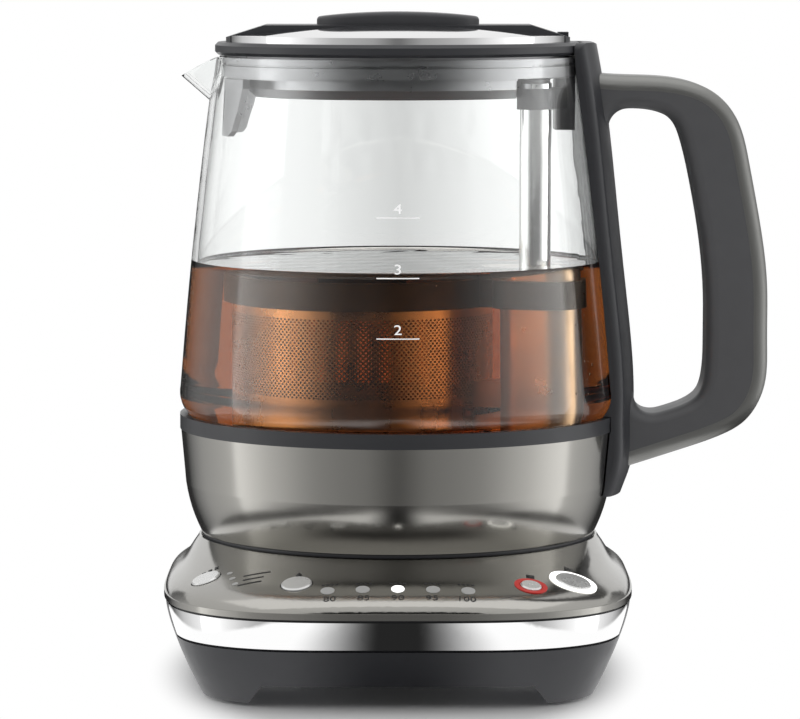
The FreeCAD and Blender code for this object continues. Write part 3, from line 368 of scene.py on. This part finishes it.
def brewedTea():
    settings = {"density": 44.0, "passes": (0.75, 0.45, 0.06)}
    finish = newFinish("brewedTea", {
        "Base Color": (1, 1, 1, 1), "Roughness": 0.0, "IOR": 1.33, "Transmission Weight": 1.0})
    letLampsThrough(finish, (1, 1, 1))
    soak = addNode(finish, "ShaderNodeVolumeAbsorption", {
        "Color": (*settings["passes"], 1), "Density": settings["density"]})
    intoOutput(finish, "Volume", soak.outputs["Volume"])
    return finish


def airInTea():
    # air as seen from inside the tea, so its index is below 1
    finish = newFinish("airInTea", {
        "Base Color": (1, 1, 1, 1), "Roughness": 0.0, "IOR": 0.75, "Transmission Weight": 1.0})
    letLampsThrough(finish, (1, 1, 1))
    return finish


def glowing(name, colour, strength):
    finish = newFinish(name, {
        "Base Color": (*colour, 1), "Roughness": 0.3, "Emission Color": (*colour, 1),
        "Emission Strength": strength})
    drift(finish, "Roughness", 0.002, 0.25, 0.4)
    return finish


finishes = {
    "smoked": smokedMetal(),
    "trim": trimMetal(),
    "chrome": polishedMetal("polishedChrome", (0.9, 0.9, 0.9), 0.045),
    "tube": polishedMetal("polishedSteel", (0.86, 0.86, 0.85), 0.14),
    "button": silverPlastic(),
    "steel": brushedSteel(),
    "cup": polishedMetal("cupSteel", (0.86, 0.85, 0.83), 0.28),
    "darkPlastic": moulded("darkPlastic", (0.040, 0.041, 0.046), 0.34),
    "bodyPlastic": moulded("bodyPlastic", (0.033, 0.034, 0.039), 0.40),
    "softPlastic": moulded("softPlastic", (0.062, 0.063, 0.069), 0.42),
    "gripPlastic": moulded("gripPlastic", (0.108, 0.109, 0.114), 0.42),
    "satin": satinPlastic(),
    "greyPlastic": moulded("greyPlastic", (0.17, 0.17, 0.175), 0.36),
    "shoe": polishedMetal("shoeSteel", (0.88, 0.88, 0.88), 0.34),
    "glass": clearGlass(),
    "silicone": moulded("silicone", (0.036, 0.036, 0.038), 0.55),
    "rubber": moulded("rubber", (0.02, 0.02, 0.021), 0.75),
    "brass": newFinish("brass", {
        "Base Color": (0.7, 0.5, 0.24, 1), "Metallic": 1.0, "Roughness": 0.3}),
    "board": moulded("boardGreen", (0.03, 0.16, 0.08), 0.45),
    "idleLens": moulded("lensGrey", (0.50, 0.50, 0.49), 0.16),
    "litLens": glowing("litLens", (1.0, 1.0, 0.98), 1.3),
    "redRing": glowing("redRing", (0.50, 0.02, 0.015), 0.25),
    # white ink of the level marks, with a painted glow so the print stays bright whatever light
    # falls on it
    "whiteInkPaintedGlow": glowing("whiteInkPaintedGlow", (0.9, 0.9, 0.9), 0.45),
    "darkInk": moulded("darkInk", (0.012, 0.012, 0.013), 0.5),
    "air": airInTea(),
}

dressed = {
    "smoked": ["base_top_shell", "steel_housing"],
    "trim": ["handle_trim"],
    "chrome": ["chrome_fascia", "lid_front_plate", "lid_rear_plate", "post_cap"],
    "tube": ["post_tube"],
    "steel": ["jug_floor", "heating_element", "temperature_sensor", "base_screws",
              "jug_base_screws", "handle_screws", "post_nut", "lead_screw", "lift_motor",
              "motor_bracket", "basket_cup", "slider_magnet", "carriage_magnets"],
    "bodyPlastic": ["base_lower_body"],
    "darkPlastic": ["collar_ring", "jug_base_cover", "spine", "lid_cap",
                    "jug_connector", "base_connector", "cord_gland"],
    "gripPlastic": ["handle_grip"],
    "softPlastic": ["lid_knob", "basket_ring", "basket_lid"],
    "satin": ["lid_skirt", "lid_seals", "pour_guard"],
    "button": ["strength_button", "temperature_button", "cancel_button", "start_button"],
    "greyPlastic": ["post_bracket"],
    "shoe": ["basket_slider", "basket_stay"],
    "glass": ["glass_jug"],
    "silicone": ["glass_seal", "post_seal"],
    "rubber": ["rubber_feet"],
    "brass": ["screw_bush", "carriage_nut"],
    "board": ["control_board", "power_board"],
    "idleLens": ["temperature_lenses", "strength_lenses"],
    "litLens": ["start_light_ring"],
    "redRing": ["cancel_light_ring"],
}


def dressNodes():
    for key, names in dressed.items():
        for name in names:
            mesh = nodes[name].data
            mesh.materials.clear()
            mesh.materials.append(finishes[key])


dressNodes()
print("finishes set on", sum(len(names) for names in dressed.values()), "nodes")


# the tea

teaFill = {"surface": 134.6 * mm, "overFloor": 0.05 * mm, "overGlassFoot": 0.4 * mm,
           "intoGlass": 1.7 * mm, "sideSteps": 28, "turns": 144,
           "meniscus": 0.9 * mm, "meniscusWide": 1.8 * mm,
           "meniscusShares": (0.0, 0.15, 0.35, 0.6, 1.0),
           "surfaceRings": 29, "ringShare": 0.032, "calmEdge": 9 * mm, "sameHeight": 1e-7,
           "waves": [(0.035 * mm, 310, 90, 0.4), (0.03 * mm, -150, 420, 1.9),
                     (0.02 * mm, 620, -260, 0.7)]}


def innerRadius(tree, height):
    hit = tree.ray_cast(Vector((0, 0, height)), Vector((0, -1, 0)))[0]
    return abs(hit.y)


def makeTea():
    # it reaches a little into the glass, so that no film of air shows between them
    t = teaFill
    tree = surfaceOf("glass_jug")
    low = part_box("jug_floor")[1].z + t["overFloor"]
    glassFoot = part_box("glass_jug")[0].z
    top = t["surface"]
    profile = [(0, low)]
    for step in range(t["sideSteps"] + 1):
        height = low + (top + t["meniscus"] - low) * step / t["sideSteps"]
        radius = innerRadius(tree, max(height, glassFoot + t["overGlassFoot"]))
        profile.append((radius + t["intoGlass"], height))
    edge = profile[-1][0] - t["intoGlass"]
    for share in t["meniscusShares"]:
        sink = t["meniscus"] * (1 - (1 - share) ** 3)
        profile.append((edge - t["meniscusWide"] * share, top + t["meniscus"] - sink))
    for ring in range(t["surfaceRings"], 0, -1):
        profile.append((edge * t["ringShare"] * ring, top))
    profile.append((0, top))
    mesh = spunMesh("tea_fill", profile, t["turns"])
    for point in mesh.vertices:
        if abs(point.co.z - top) < t["sameHeight"]:
            fade = min(1.0, (edge - math.hypot(point.co.x, point.co.y)) / t["calmEdge"])
            for high, alongX, alongY, shift in t["waves"]:
                wave = math.sin(alongX * point.co.x + alongY * point.co.y + shift)
                point.co.z += fade * high * wave
    addPiece("tea_fill", mesh, "jug", brewedTea())


def makeBubbles():
    # small bubbles of air on the glass beside the handle and under the surface
    settings = {"count": 34, "least": 0.18 * mm, "most": 0.5 * mm, "seed": 4,
                "heights": (82, 133), "angles": [-32, -28, -24, -150, -75], "spread": 5,
                "offGlass": 1.5, "turns": 10, "shoulder": 0.7}
    chance = random.Random(settings["seed"])
    tree = surfaceOf("glass_jug")
    points = []
    faces = []
    for k in range(settings["count"]):
        height = chance.uniform(*settings["heights"]) * mm
        degrees = chance.choice(settings["angles"])
        angle = math.radians(degrees + chance.uniform(-settings["spread"], settings["spread"]))
        size = chance.uniform(settings["least"], settings["most"])
        away = innerRadius(tree, height) - settings["offGlass"] * size
        middle = Vector((away * math.cos(angle), away * math.sin(angle), height))
        shoulder = settings["shoulder"] * size
        profile = [(0, -size), (shoulder, -shoulder), (size, 0), (shoulder, shoulder), (0, size)]
        ball = spunMesh("ball", profile, settings["turns"])
        start = len(points)
        points += [tuple(v.co + middle) for v in ball.vertices]
        faces += [[start + n for n in f.vertices] for f in ball.polygons]
        bpy.data.meshes.remove(ball)
    mesh = meshFrom("tea_bubbles", points, faces)
    addPiece("tea_bubbles", mesh, "jug", finishes["air"])


makeTea()
makeBubbles()
print("tea poured to", round(teaFill["surface"] * 1000, 1), "mm")


# the basket's perforated cup

basketCup = {"x": -9.0 * mm, "radius": 32.5 * mm, "thick": 0.45 * mm, "foot": 84.5 * mm,
             "top": 122.0 * mm, "round": 4.0 * mm, "roundStep": 15, "floorRing": 0.55,
             "columns": 150, "rows": 32, "holesFrom": 91.2 * mm, "rowStep": 0.84 * mm,
             "hole": 0.39 * mm, "underHoles": 0.8 * mm, "sharpAt": 40}


def cupProfile(radius, inset):
    # radius and height from the middle of the floor, round the corner, to just under the holes
    c = basketCup
    turn = c["round"] - inset
    floorAt = c["foot"] + inset
    profile = [(0, floorAt), (c["floorRing"] * radius, floorAt)]
    for degrees in range(0, 91, c["roundStep"]):
        angle = math.radians(degrees)
        profile.append((radius - turn + turn * math.sin(angle),
                        floorAt + turn - turn * math.cos(angle)))
    return profile + [(radius, c["holesFrom"] - c["underHoles"])]


def cupWall(grid, holes, rings, rim):
    # one side of the cup: faces round each eight-sided hole, then the plain bands
    columns, rows = basketCup["columns"], basketCup["rows"]

    def at(row, column):
        return grid[row, column % (2 * columns)]

    faces = []
    for (row, column), h in holes.items():
        right, above = at(row, column + 1), at(row + 1, column)
        left, below = at(row, column - 1), at(row - 1, column)
        faces += [[right, above, h[2], h[1], h[0]], [above, left, h[4], h[3], h[2]],
                  [left, below, h[6], h[5], h[4]], [below, right, h[0], h[7], h[6]]]
    for k in range(0, 2 * columns, 2):
        faces.append([at(0, k - 1), at(0, k + 1), at(1, k)])
        faces.append([at(rows, k + 1), at(rows, k - 1), at(rows - 1, k)])
    low = [at(0, 2 * k + 1) for k in range(columns)]
    high = [at(rows, 2 * k + 1) for k in range(columns)]
    stack = rings + [low]
    for one, two in list(zip(stack, stack[1:])) + [(high, rim)]:
        faces += bandBetween(one, two)
    return faces


def makeBasketCup():
    c = basketCup
    columns = c["columns"]
    half = math.pi / columns
    points = []

    def spot(radius, turn, height):
        points.append((c["x"] + radius * math.cos(turn), radius * math.sin(turn), height))
        return len(points) - 1

    def ringOf(radius, height):
        if radius == 0:
            return [spot(0, 0, height)] * columns
        return [spot(radius, (2 * k + 1) * half, height) for k in range(columns)]

    def holeAt(radius, column, height):
        turns = [math.pi * k / 4 for k in range(8)]
        return [spot(radius, column * half + c["hole"] * math.cos(a) / c["radius"],
                     height + c["hole"] * math.sin(a)) for a in turns]

    sides = []
    for inset in (0, c["thick"]):
        radius = c["radius"] - inset
        grid = {}
        holes = {}
        for row in range(c["rows"] + 1):
            height = c["holesFrom"] + row * c["rowStep"]
            for column in range(2 * columns):
                if (row + column) % 2:
                    grid[row, column] = spot(radius, column * half, height)
                elif 0 < row < c["rows"]:
                    holes[row, column] = holeAt(radius, column, height)
        rings = [ringOf(radial, height) for radial, height in cupProfile(radius, inset)]
        sides.append((grid, holes, rings, ringOf(radius, c["top"])))
    faces = []
    for side in sides:
        faces += cupWall(*side)
    outside, inside = sides
    faces += bandBetween(outside[3], inside[3])
    for key, outer in outside[1].items():
        faces += bandBetween(outer, inside[1][key])
    mesh = meshFrom("basket_mesh_cup", points, faces)
    closeNormals(mesh)
    cup = addPiece("basket_mesh_cup", mesh, "basket", finishes["cup"])
    sharpen(mesh, c["sharpAt"])
    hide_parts("basket_cup")
    return len(faces)


print("basket cup made,", makeBasketCup(), "faces")


# printed marks: level lines on the glass, numbers and plain signs on the panel

levelMarks = {"heights": {"4": 153.0 * mm, "3": 134.0 * mm, "2": 115.0 * mm},
              "lineWide": 13.6 * mm, "lineHigh": 0.35 * mm, "lineSteps": 24,
              "numberHigh": 3.2 * mm, "numberWide": 1.25, "above": 1.3 * mm, "proud": 0.04 * mm}


def makeLevelMarks():
    m = levelMarks
    tree = surfaceOf("glass_jug")

    def layDown(x, y, side):
        hit = tree.ray_cast(Vector((0, -rayStart, y)), Vector((0, 1, 0)))[0]
        radius = -hit.y + side * m["proud"]
        return (radius * math.sin(x / radius), -radius * math.cos(x / radius), y)

    outlines = []
    for number, height in m["heights"].items():
        line = bar(0, height, m["lineWide"], m["lineHigh"], m["lineSteps"])
        written = writtenOutline(number, m["numberHigh"], m["numberWide"])
        lift = height + m["above"] + m["numberHigh"] / 2
        outlines += [drawnOutline(line), movedOutline(written, 0, lift)]
    mesh = printedMesh("level_marks", outlines, layDown)
    # the level marks are white print with a painted glow
    addPiece("level_marks", mesh, "jug", finishes["whiteInkPaintedGlow"])


# in millimetres
panelMarks = {"numbers": {"80": -21.3, "85": -10.7, "90": 0.0, "95": 10.7, "100": 21.4},
              "numbersAt": -94.2, "numberHigh": 2.3, "numberWide": 1.3, "proud": 0.08,
              "dashes": {"y": -86.3, "places": (-2.1, -0.7, 0.7, 2.1), "wide": 1.0, "high": 0.75},
              "bars": {"x": -62.0, "foot": -58.4, "pitch": 2.0, "wide": 1.2,
                       "heights": (1.0, 1.7, 2.4)},
              "lines": {"x": -44.6, "y": -71.2, "slant": 1.1, "pitch": 3.4, "high": 0.8,
                        "steps": 10, "widths": (8.6, 6.6, 7.6)},
              "drop": {"x": -31.2, "y": -76.4, "wide": 0.75, "high": 1.6, "corners": 22},
              "square": {"x": 41.8, "y": -75.0, "side": 2.6},
              "triangle": [(53.0, -63.2), (56.4, -61.4), (53.0, -59.6)]}


def panelSigns():
    # dashes over the numbers, rising bars, lines, a drop, a square and a triangle
    dashes, bars, lines = panelMarks["dashes"], panelMarks["bars"], panelMarks["lines"]
    drop, square = panelMarks["drop"], panelMarks["square"]
    signs = []
    for x in panelMarks["numbers"].values():
        for place in dashes["places"]:
            signs.append(bar(x + place, dashes["y"], dashes["wide"], dashes["high"]))
    for k, high in enumerate(bars["heights"]):
        signs.append(bar(bars["x"] + bars["pitch"] * k, bars["foot"] + high / 2,
                         bars["wide"], high))
    for k, wide in enumerate(lines["widths"]):
        signs.append(bar(lines["x"] - lines["slant"] * k, lines["y"] - lines["pitch"] * k,
                         wide, lines["high"], lines["steps"]))
    turns = [2 * math.pi * k / drop["corners"] for k in range(drop["corners"])]
    signs.append([(drop["x"] - drop["wide"] * math.sin(a) * (1 - math.cos(a)),
                   drop["y"] + drop["high"] * math.cos(a)) for a in turns])
    signs.append(bar(square["x"], square["y"], square["side"], square["side"]))
    signs.append(panelMarks["triangle"])
    return signs


def makePanelMarks():
    m = panelMarks
    tree = surfaceOf("base_top_shell")

    def layDown(x, y, side):
        hit = dropOn(tree, x, y)
        return (hit.x, hit.y, hit.z + side * m["proud"] * mm)

    outlines = [drawnOutline(corners) for corners in panelSigns()]
    for number, x in m["numbers"].items():
        written = writtenOutline(number, m["numberHigh"], m["numberWide"])
        outlines.append(movedOutline(written, x, m["numbersAt"]))
    mesh = printedMesh("panel_marks", outlines, layDown)
    addPiece("panel_marks", mesh, "base", finishes["darkInk"])


def makeLitLens():
    # the middle lens is on: a thin glowing cap over it, in millimetres
    settings = {"x": 0.0, "y": -90.0, "radius": 2.1, "fit": 0.97, "proud": 0.12, "sunk": 0.3,
                "flat": 0.6, "turns": 28}
    tree = surfaceOf("temperature_lenses")
    turns = settings["turns"]
    points = []
    for share, lift in ((1.0, -settings["sunk"]), (1.0, settings["proud"]),
                        (settings["flat"], settings["proud"])):
        radius = settings["fit"] * share * settings["radius"]
        for k in range(turns):
            angle = 2 * math.pi * k / turns
            hit = dropOn(tree, settings["x"] + radius * math.cos(angle),
                         settings["y"] + radius * math.sin(angle))
            points.append((hit.x, hit.y, hit.z + lift * mm))
    foot, edge, flat = [[start + k for k in range(turns)] for start in (0, turns, 2 * turns)]
    faces = bandBetween(foot, edge) + bandBetween(edge, flat) + [flat, foot[::-1]]
    mesh = meshFrom("lit_lens", points, faces)
    closeNormals(mesh)
    addPiece("lit_lens", mesh, "base", finishes["litLens"])


makeLevelMarks()
makePanelMarks()
makeLitLens()
print("marks printed")


# the studio: floor, two curved light walls, world, lamp, camera

def makeFloor():
    # white where it is seen away from the object; metal near it reflects it as white at both sides
    settings = {"half": 4.0, "drop": 0.2 * mm, "colour": 0.86,
                "shadow": (0.062, 0.13), "shadowFade": (1.0, 1.34),
                "gloss": (0.006, 0.042), "glossLevels": (0.02, 1.1),
                "mirrored": (0.14, 0.178), "mirroredFade": (1.0, 1.06)}
    h = settings["half"]
    z = -settings["drop"]
    mesh = meshFrom("floor", [(-h, -h, z), (h, -h, z), (h, h, z), (-h, h, z)], [[0, 1, 2, 3]])
    finish = newFinish("paleFloor", {
        "Base Color": (settings["colour"],) * 3 + (1,), "Roughness": 0.7})
    path = addNode(finish, "ShaderNodeLightPath")
    coords = addNode(finish, "ShaderNodeTexCoord")
    split = addNode(finish, "ShaderNodeSeparateXYZ", {0: coords.outputs["Object"]})
    seen = compute(finish, "MAXIMUM", path.outputs["Is Camera Ray"],
                   path.outputs["Is Transmission Ray"])
    fade = remap(finish, ovalDistance(finish, settings["shadow"]), settings["shadowFade"],
                 ease="SMOOTHSTEP")
    plain = mixShaders(finish, compute(finish, "MULTIPLY", seen, fade),
                       shaderOf(finish).outputs["BSDF"], emission(finish, (1, 1, 1, 1), 1.0))
    out = compute(finish, "ABSOLUTE", split.outputs["X"])
    sides = remap(finish, out, settings["gloss"], settings["glossLevels"], "SMOOTHSTEP")
    clear = addNode(finish, "ShaderNodeBsdfTransparent", {"Color": (1, 1, 1, 1)})
    away = remap(finish, ovalDistance(finish, settings["mirrored"]), settings["mirroredFade"])
    mirrored = mixShaders(finish, away, emission(finish, (1, 1, 1, 1), sides),
                          clear.outputs["BSDF"])
    intoOutput(finish, "Surface", mixShaders(
        finish, path.outputs["Is Glossy Ray"], plain, mirrored))
    linkPiece("floor", mesh, finish)


def wallMesh(name, side, size):
    # a strip that curves from in front of the object to behind it
    points = []
    for step in range(size["steps"] + 1):
        angle = math.radians(size["to"] * step / size["steps"])
        x = side * size["radius"] * math.sin(angle)
        y = -size["radius"] * math.cos(angle)
        points += [(x, y, size["low"]), (x, y, size["high"])]
    faces = [[2 * k, 2 * k + 1, 2 * k + 3, 2 * k + 2] for k in range(size["steps"])]
    return meshFrom(name, points, faces)


def makeLightWall(name, side, edge):
    # a curved wall of light from beside the camera to behind the object, brightest at its edge
    size = {"radius": 1.25, "to": 150.0, "steps": 60, "low": -0.5, "high": 0.6}
    settings = {"strength": 1.8, "gapHeights": (0.25, 0.38), "gapAngles": (22.0, 64.0),
                "throughGlass": 0.97, "insideGlass": 0.75}
    # degrees from the front, brightness
    levels = [(2.0, 0.1), (9.0, 0.15), (16.0, 0.2), (30.0, 0.235), (43.0, 0.285), (52.0, 0.36),
              (62.0, 0.475), (72.0, 0.58), (83.0, 0.76), (edge - 1.0, 1.0), (edge + 1.0, 0.52),
              (126.0, 0.33), (148.0, 0.06)]
    strength = settings["strength"]
    finish = newFinish(name, {})
    coords = addNode(finish, "ShaderNodeTexCoord")
    split = addNode(finish, "ShaderNodeSeparateXYZ", {0: coords.outputs["Object"]})
    out = compute(finish, "ABSOLUTE", split.outputs["X"])
    front = compute(finish, "MULTIPLY", split.outputs["Y"], -1.0)
    place = compute(finish, "DIVIDE", compute(finish, "ARCTAN2", out, front), math.pi)
    ramp = addNode(finish, "ShaderNodeValToRGB", {0: place})
    fillRamp(ramp, [(angle / 180, level) for angle, level in levels])
    # higher up and seen through glass, the dark gap around the camera is wider
    high = remap(finish, split.outputs["Z"], settings["gapHeights"], (0.0, strength))
    gate = remap(finish, place, [angle / 180 for angle in settings["gapAngles"]], (1.0, 0.0),
                 "SMOOTHSTEP")
    path = addNode(finish, "ShaderNodeLightPath")
    inGlass = path.outputs["Is Transmission Ray"]
    through = compute(finish, "MULTIPLY", inGlass, settings["throughGlass"] * strength)
    cut = compute(finish, "MULTIPLY", compute(finish, "MAXIMUM", high, through), gate)
    more = compute(finish, "MULTIPLY_ADD", inGlass, settings["insideGlass"], 1.0)
    left = compute(finish, "SUBTRACT", strength, cut)
    level = compute(finish, "MULTIPLY", left, more)
    intoOutput(finish, "Surface", emission(finish, ramp.outputs["Color"], level))
    wall = linkPiece(name, wallMesh(name, side, size), finish)
    wall.visible_camera = False
    wall.visible_shadow = False


def makeWorld():
    # white where it is seen, with a faint grey band through glass; soft grey as light; dark below
    settings = {"light": 0.68, "bandHalf": 0.028, "bandLevel": 0.76,
                "levels": [(-0.03, 0.03), (0.03, 0.9), (0.5, 0.85), (1.0, 0.95)]}
    world = bpy.data.worlds.new("studio")
    world.use_nodes = True
    studio.world = world
    background = world.node_tree.nodes["Background"]
    background.inputs["Color"].default_value = (1, 1, 1, 1)
    path = addNode(world, "ShaderNodeLightPath")
    coords = addNode(world, "ShaderNodeTexCoord")
    split = addNode(world, "ShaderNodeSeparateXYZ", {0: coords.outputs["Generated"]})
    ramp = addNode(world, "ShaderNodeValToRGB", {0: remap(world, split.outputs["Z"], (-1.0, 1.0))})
    fillRamp(ramp, [((height + 1) / 2, level) for height, level in settings["levels"]])
    seen = compute(world, "MAXIMUM", path.outputs["Is Camera Ray"],
                   path.outputs["Is Transmission Ray"])
    glossy = addNode(world, "ShaderNodeMix", {
        "Factor": path.outputs["Is Glossy Ray"], "A": settings["light"],
        "B": ramp.outputs["Color"]})
    out = compute(world, "ABSOLUTE", split.outputs["X"])
    band = remap(world, out, (0.0, settings["bandHalf"]), (settings["bandLevel"], 1.0))
    direct = compute(world, "MAXIMUM", path.outputs["Is Camera Ray"], band)
    level = addNode(world, "ShaderNodeMix", {
        "Factor": seen, "A": glossy.outputs["Result"], "B": direct})
    world.node_tree.links.new(level.outputs["Result"], background.inputs["Strength"])


def makeTopLamp():
    settings = {"place": (0, 0.1, 1.3), "aim": (0, 0, 0.1), "size": (1.5, 1.3), "power": 2.9}
    light = bpy.data.lights.new("topLamp", "AREA")
    light.shape = "RECTANGLE"
    light.size, light.size_y = settings["size"]
    light.energy = settings["power"]
    lamp = bpy.data.objects.new("topLamp", light)
    lamp.location = settings["place"]
    ray = Vector(settings["aim"]) - Vector(settings["place"])
    lamp.rotation_euler = ray.to_track_quat("-Z", "Y").to_euler()
    studio.collection.objects.link(lamp)


def makeCamera():
    settings = {"place": (0.66 * mm, -1.46, 0.2365), "tiltDown": 5.26, "lens": 199.1,
                "sensor": 36.0, "nearest": 0.01}
    data = bpy.data.cameras.new("camera")
    data.lens = settings["lens"]
    data.sensor_width = settings["sensor"]
    data.sensor_fit = "HORIZONTAL"
    data.clip_start = settings["nearest"]
    camera = bpy.data.objects.new("camera", data)
    camera.location = settings["place"]
    camera.rotation_euler = (math.radians(90 - settings["tiltDown"]), 0, 0)
    studio.collection.objects.link(camera)
    studio.camera = camera


makeFloor()
makeLightWall("leftLightWall", -1, 96.0)
makeLightWall("rightLightWall", 1, 101.0)
makeWorld()
makeTopLamp()
makeCamera()
studio.view_settings.view_transform = "Standard"
print("studio ready")
